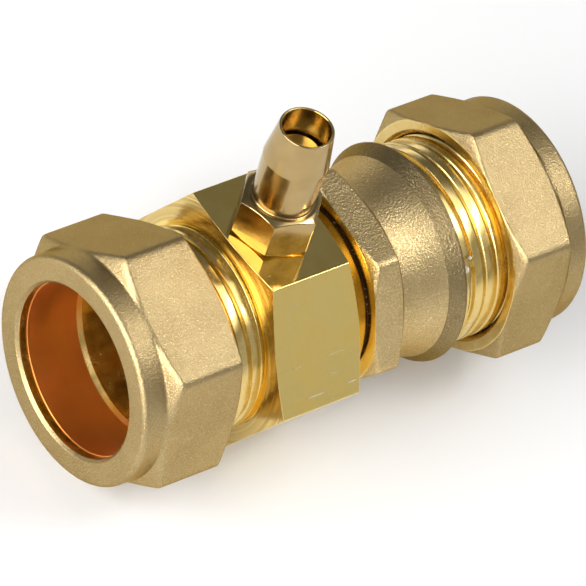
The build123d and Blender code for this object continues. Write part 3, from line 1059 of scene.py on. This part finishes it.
class TESTPOINT_OT_nipple(bpy.types.Operator):
    """Test nipple: hexagon foot, waisted hose spigot and a bore with a thin rim"""

    bl_idname = "testpoint.nipple"
    bl_label = "Test nipple"

    def execute(self, context):
        (s,) = sizes("nipple")
        hexagon = Hexagon(s.across_flats)
        axis_x, foot, top, face_r = s.axis_x, s.foot_z, s.hex_z, s.face_r
        (stub, stub_r), (hole, hole_r), belly = s.stub, s.hole, s.belly[0]
        rise = hexagon.out_to(0.0, face_r, s.cut)
        nipple = turned_z("nipple_body", rounded([
            (stub, s.gas_r, 0),
            (stub, stub_r - CHAMFER, 0),
            (stub + CHAMFER, stub_r, 0),
            (foot - STUB_NECK, stub_r, 0),
            (foot, face_r, 0),
            (foot + rise, hexagon.reach, 0),
            (top - rise, hexagon.reach, 0),
            (top, face_r, 0),
            (top, s.waist_r, 0.18),
            (*s.belly, 0.5),
            (*s.rim, 0.12),
            (s.rim[0], s.bore_r, 0.12),
            (s.seat_z, s.bore_r, 0.1),
            (s.seat_z, hole_r, 0.05),
            (hole, hole_r, 0),
            (hole, s.gas_r, 0),
        ]), axis_x, NIPPLE_STEPS)
        mill_flats(
            nipple, (axis_x, 0, 0), hexagon.apothem, flat_directions(s.corner, ALONG),
            lambda co: foot - JUST_PAST <= co.z <= top + JUST_PAST,
        )
        break_edges(nipple, s.edge, NIPPLE_EDGE)
        inside = s.bore_r + RIM_EDGE
        other_finish(nipple, 1, lambda c: c.z > belly and math.hypot(c.x - axis_x, c.y) < inside)
        finished(nipple, ("nipple_brass", "ringed_brass"), "fitting", ["test_nipple"])
        return {"FINISHED"}


class TESTPOINT_OT_screw(bpy.types.Operator):
    """Sealing screw with a slotted head, and the washer under it"""

    bl_idname = "testpoint.screw"
    bl_label = "Sealing screw and seal"

    def execute(self, context):
        (s,) = sizes("nipple")
        axis_x, under = s.axis_x, s.head_bottom_z
        (head, head_r), (foot, shank_r) = s.head, s.shank
        screw = turned_z("sealing_screw_body", rounded([
            (foot, 0.0, 0),
            (foot, shank_r, 0.25),
            (under, shank_r, 0.1),
            (under, head_r, 0.06),
            (head, head_r, 0.3),
            (head, 0.0, 0),
        ]), axis_x, SCREW_STEPS)
        nothing_selected()
        bpy.ops.mesh.primitive_cube_add(size=1.0, location=(axis_x, 0, head), rotation=(0, 0, s.slot_turn))
        slot = bpy.context.object
        bpy.ops.transform.resize(value=(head_r * SLOT_REACH, s.slot, s.slot_depth * 2), orient_type="LOCAL")
        bpy.ops.object.transform_apply(location=True, rotation=True, scale=True)
        cut_away(screw, slot)
        flat_x = axis_x + shank_r - s.shank_flat
        in_edit_mode(screw)
        bpy.ops.mesh.bisect(plane_co=(flat_x, 0, foot), plane_no=ALONG, threshold=ON_PLANE)
        bpy.ops.object.mode_set(mode="OBJECT")
        for vertex in screw.data.vertices:
            if vertex.co.z < under - BESIDE:
                vertex.co.x = min(vertex.co.x, flat_x)
        break_edges(screw, SCREW_BREAK, SCREW_EDGE)
        finished(screw, ["nipple_brass"], "sealing_screw", ["sealing_screw"])
        seal = turned_z("screw_seal_ring", rounded([
            (s.seat_z, s.seal_r, 0.1),
            (s.seat_z, head_r, 0.2),
            (under, head_r, 0.2),
            (under, s.seal_r, 0.1),
        ]), axis_x, SCREW_STEPS)
        finished(seal, ["seal_rubber"], "screw_seal", ["screw_seal"])
        return {"FINISHED"}


class TESTPOINT_OT_stage(bpy.types.Operator):
    """Camera, lamps and a pale floor that darkens away from the object as painted shade"""

    bl_idname = "testpoint.stage"
    bl_label = "Stage"

    def execute(self, context):
        s = context.scene.testpoint_stage
        right, up = Vector(s.camera_right).normalized(), Vector(s.camera_up).normalized()
        back = right.cross(up).normalized()
        up = back.cross(right).normalized()
        data = bpy.data.cameras.new("photo_camera")
        data.lens, data.sensor_width, data.sensor_fit = s.lens, s.sensor, "HORIZONTAL"
        data.clip_start, data.clip_end = CAMERA_CLIP
        camera = bpy.data.objects.new("photo_camera", data)
        context.scene.collection.objects.link(camera)
        facing = Matrix((right, up, back)).transposed().to_4x4()
        camera.matrix_world = Matrix.Translation(s.camera_at) @ facing
        context.scene.camera = camera
        context.scene.view_settings.view_transform = "Standard"
        self.floor(s)
        self.world(context.scene)
        for name, toward, distance, size, power in LAMPS:
            self.lamp(name, Vector(toward).normalized(), distance, size, power)
        return {"FINISHED"}

    def floor(self, s):
        """Wide floor under the lowest corner of the object, clear when seen from below, pale near the object
        and darker far away as painted shade.
        """
        nothing_selected()
        low = CAD_BOX[0][2]
        bpy.ops.mesh.primitive_plane_add(size=2 * s.floor_half, location=(0, 0, low))
        floor = bpy.context.object
        floor.name = "floor"
        bpy.ops.object.transform_apply(location=True, rotation=True, scale=True)
        f = Finish("floor_paper")
        rays = f.node("ShaderNodeLightPath").outputs
        seen = rays["Is Camera Ray"]
        for other in ("Is Glossy Ray", "Is Transmission Ray"):
            seen = f.sums("MAXIMUM", seen, rays[other])
        # Pale near the object and darker far away: a painted pool of light, which the lift follows
        near = f.spread(f.distance(f.place), s.floor_near, s.floor_far, 1, 0)
        f.feed(f.shader, {
            "Base Color": f.blended(near, tuple(s.floor_shade), tuple(s.floor_colour)),
            "Roughness": 0.9,
            "Specular IOR Level": 0.0,
            "Emission Color": (1, 1, 1, 1),
            "Emission Strength": f.sums("MULTIPLY", seen, f.sums("MULTIPLY", near, s.floor_lift)),
        })
        one_sided = f.node("ShaderNodeMixShader", {
            "Fac": f.node("ShaderNodeNewGeometry").outputs["Backfacing"],
            1: f.shader.outputs["BSDF"],
            2: f.node("ShaderNodeBsdfTransparent").outputs["BSDF"],
        })
        f.feed(f.nodes["Material Output"], {"Surface": one_sided.outputs["Shader"]})
        floor.data.materials.append(f.material)

    def world(self, scene):
        """Studio walls, pale at the horizon in front and dim overhead and at the back."""
        scene.world = scene.world or bpy.data.worlds.new("studio")
        walls = Nodes(scene.world)
        place = walls.node("ShaderNodeTexCoord").outputs["Generated"]
        split = walls.node("ShaderNodeSeparateXYZ", {"Vector": place}).outputs
        height = walls.node("ShaderNodeValToRGB", {"Fac": split["Z"]})
        for stop, (position, level) in zip(height.color_ramp.elements, WALL_LEVELS):
            stop.position = position
            stop.color = (level, level, level, 1)
        facing = walls.node("ShaderNodeMapRange", {"Value": split["Y"], **ranges(*WALL_FACING)})
        walls.feed(walls.nodes["Background"], {
            "Color": height.outputs["Color"], "Strength": facing.outputs["Result"],
        })

    def lamp(self, name, toward, distance, size, power):
        """Soft rectangular lamp that faces the object."""
        data = bpy.data.lights.new(name, "AREA")
        data.shape = "RECTANGLE"
        data.size, data.size_y = size
        data.energy = power
        lamp = bpy.data.objects.new(name, data)
        bpy.context.scene.collection.objects.link(lamp)
        lamp.location = Vector(LAMP_AIM) + toward * distance
        lamp.rotation_euler = toward.to_track_quat("Z", "Y").to_euler()


class TESTPOINT_PT_panel(bpy.types.Panel):
    """Sidebar list of the pieces"""

    bl_idname = "TESTPOINT_PT_panel"
    bl_label = "Pressure test point"
    bl_space_type = "VIEW_3D"
    bl_region_type = "UI"
    bl_category = "Test point"

    def draw(self, context):
        column = self.layout.column(align=True)
        for operator in OPERATORS:
            column.operator(operator.bl_idname)


GROUPS = {
    "ends": EndSizes,
    "body": BodySizes,
    "adaptor": AdaptorSizes,
    "nuts": NutSizes,
    "olives": OliveSizes,
    "nipple": NippleSizes,
    "stage": StageSettings,
}
OPERATORS = (
    TESTPOINT_OT_body,
    TESTPOINT_OT_adaptor,
    TESTPOINT_OT_nuts,
    TESTPOINT_OT_paste_shade_and_glints,
    TESTPOINT_OT_olives,
    TESTPOINT_OT_nipple,
    TESTPOINT_OT_screw,
    TESTPOINT_OT_stage,
)


def register():
    """Adds the sizes, the operators and the panel."""
    for name, group in GROUPS.items():
        bpy.utils.register_class(group)
        setattr(bpy.types.Scene, PREFIX + name, PointerProperty(type=group))
    for operator in OPERATORS:
        bpy.utils.register_class(operator)
    bpy.utils.register_class(TESTPOINT_PT_panel)


def unregister():
    """Takes the panel, the operators and the sizes away again."""
    bpy.utils.unregister_class(TESTPOINT_PT_panel)
    for operator in reversed(OPERATORS):
        bpy.utils.unregister_class(operator)
    for name, group in reversed(list(GROUPS.items())):
        delattr(bpy.types.Scene, PREFIX + name)
        bpy.utils.unregister_class(group)


def main():
    """Builds every piece and the stage."""
    register()
    bpy.ops.testpoint.body()
    bpy.ops.testpoint.adaptor()
    bpy.ops.testpoint.nuts()
    bpy.ops.testpoint.paste()
    bpy.ops.testpoint.olives()
    bpy.ops.testpoint.nipple()
    bpy.ops.testpoint.screw()
    bpy.ops.testpoint.stage()
    nothing_selected()


if __name__ == "__main__":
    main()
